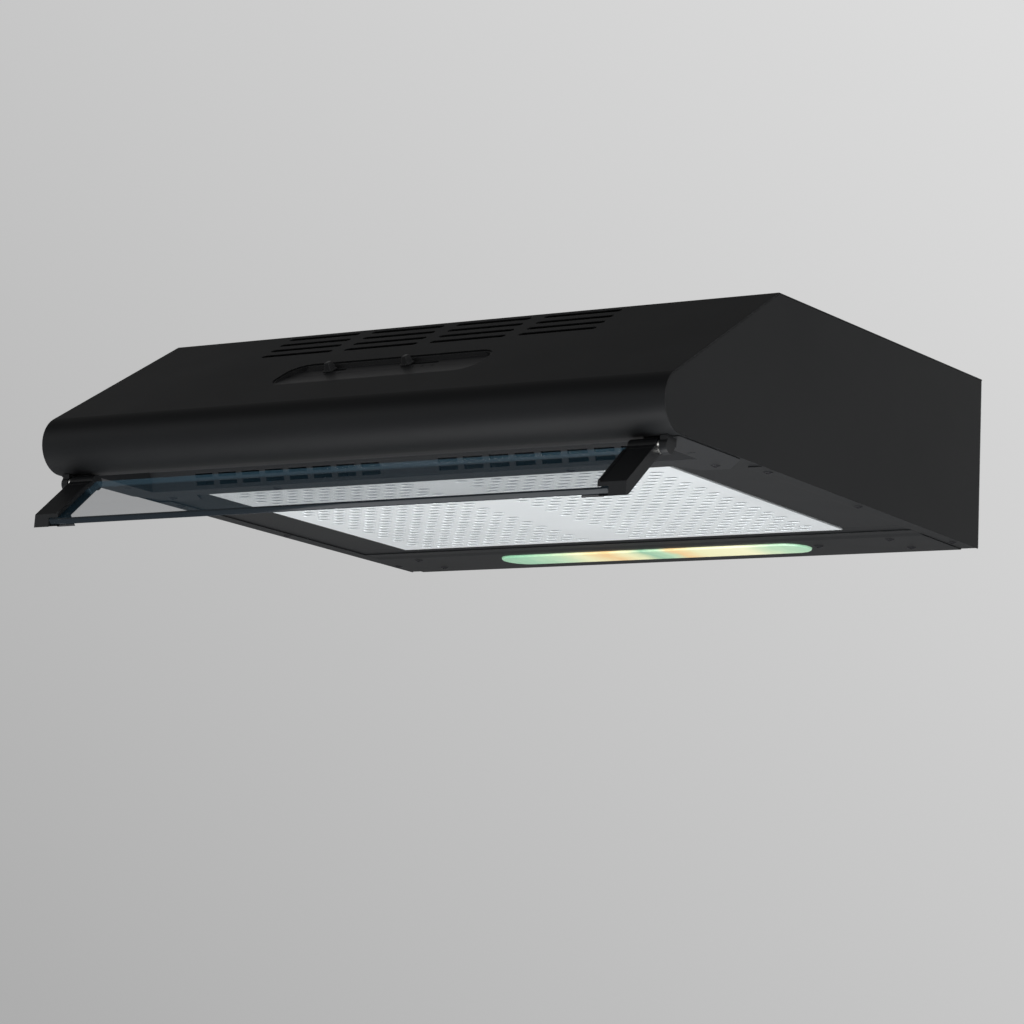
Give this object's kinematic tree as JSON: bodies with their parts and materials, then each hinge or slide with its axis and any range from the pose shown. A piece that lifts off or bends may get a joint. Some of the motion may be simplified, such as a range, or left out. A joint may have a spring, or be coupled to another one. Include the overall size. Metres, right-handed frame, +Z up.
{
  "type": "under cabinet range hood",
  "caption": "Slim under-cabinet extractor hood with a sloping front, slider controls, fold-out smoked glass visor, perforated grease filter and rear lamp.",
  "frame": {"origin": "top rear edge at mid width, where the wall plane meets the cabinet underside", "axes": "+X to the right seen from the front, +Y into the wall, +Z up"},
  "size_m": [0.498, 0.4765, 0.1573],
  "materials": {
    "black_paint": "satin black powder coat",
    "zinc": "zinc plated",
    "screw_black": "black plated",
    "alu_white": "bright perforated",
    "alu": "bright folded",
    "mat_fibre": "needled fibre",
    "black_plastic": "fine matt",
    "gloss_black": "semi gloss",
    "grey_plastic": "moulded",
    "white_plastic": "moulded",
    "smoke_glass": "smoke tint",
    "lens": "frosted",
    "bulb": "frosted",
    "steel": "turned",
    "rubber": "matt",
    "bronze": "sintered",
    "stator": "laminated with windings",
    "cap": "can"
  },
  "bodies": {
    "hood": {"back_panel": "zinc", "bottom_pan": "black_paint", "box_screws": "zinc", "cable_gland": "rubber", "canopy_rivets": "screw_black", "canopy_sheet": "black_paint", "capacitor": "cap", "capacitor_clip": "zinc", "control_tray": "black_plastic", "fan_screws": "zinc", "filter_spring_left": "zinc", "filter_spring_right": "zinc", "front_moulding": "black_plastic", "inner_loom": "rubber", "lamp_bulb_left": "bulb", "lamp_bulb_right": "bulb", "lamp_holder_left": "white_plastic", "lamp_holder_right": "white_plastic", "lamp_lens": "lens", "lamp_panel": "black_paint", "lamp_panel_screws": "screw_black", "lamp_reflector": "alu", "lens_screw": "screw_black", "light_switch": "grey_plastic", "motor_bearing_lower": "bronze", "motor_bearing_upper": "bronze", "motor_can": "zinc", "motor_screws": "zinc", "motor_stator": "stator", "moulding_screws": "screw_black", "pan_screws": "screw_black", "scroll_base": "grey_plastic", "scroll_cover": "grey_plastic", "side_panel_left": "black_paint", "side_panel_right": "black_paint", "speed_switch": "grey_plastic", "switch_plate": "zinc", "terminal_block": "white_plastic", "terminal_box": "grey_plastic", "terminal_lid": "grey_plastic"},
    "visor": {"visor_glass": "smoke_glass", "visor_arm_left": "black_plastic", "visor_arm_right": "black_plastic", "visor_pin_left": "steel", "visor_pin_right": "steel", "visor_washer_left": "zinc", "visor_washer_right": "zinc"},
    "filter": {"filter_grille": "alu_white", "filter_mat": "mat_fibre", "filter_wires": "steel", "filter_pivot_left": "steel", "filter_pivot_right": "steel"},
    "light_slider": {"light_knob": "gloss_black"},
    "speed_slider": {"speed_knob": "gloss_black"},
    "fan": {"impeller": "grey_plastic", "motor_shaft": "steel", "motor_rotor": "stator"},
    "diverter": {"diverter_flap": "grey_plastic", "diverter_lever": "grey_plastic"}
  },
  "joints": [
    {"name": "visor_hinge", "type": "hinge", "parent": "hood", "child": "visor", "pos_m": [0, -0.43703, -0.12111], "axis": [1, 0, 0], "range_deg": [0, 138]},
    {"name": "filter_hinge", "type": "hinge", "parent": "hood", "child": "filter", "pos_m": [0, -0.1014, -0.11946], "axis": [1, 0, 0], "range_deg": [0, 75]},
    {"name": "light_slide", "type": "slide", "parent": "hood", "child": "light_slider", "axis": [1, 0, 0], "range_m": [0, 0.012]},
    {"name": "speed_slide", "type": "slide", "parent": "hood", "child": "speed_slider", "axis": [1, 0, 0], "range_m": [0, 0.024]},
    {"name": "fan_spin", "type": "hinge", "parent": "hood", "child": "fan", "pos_m": [0.07, -0.2, -0.05], "axis": [0, 0, 1], "continuous": true},
    {"name": "diverter_hinge", "type": "hinge", "parent": "hood", "child": "diverter", "pos_m": [-0.1, -0.219, -0.024], "axis": [1, 0, 0], "range_deg": [0, 72]}
  ]
}
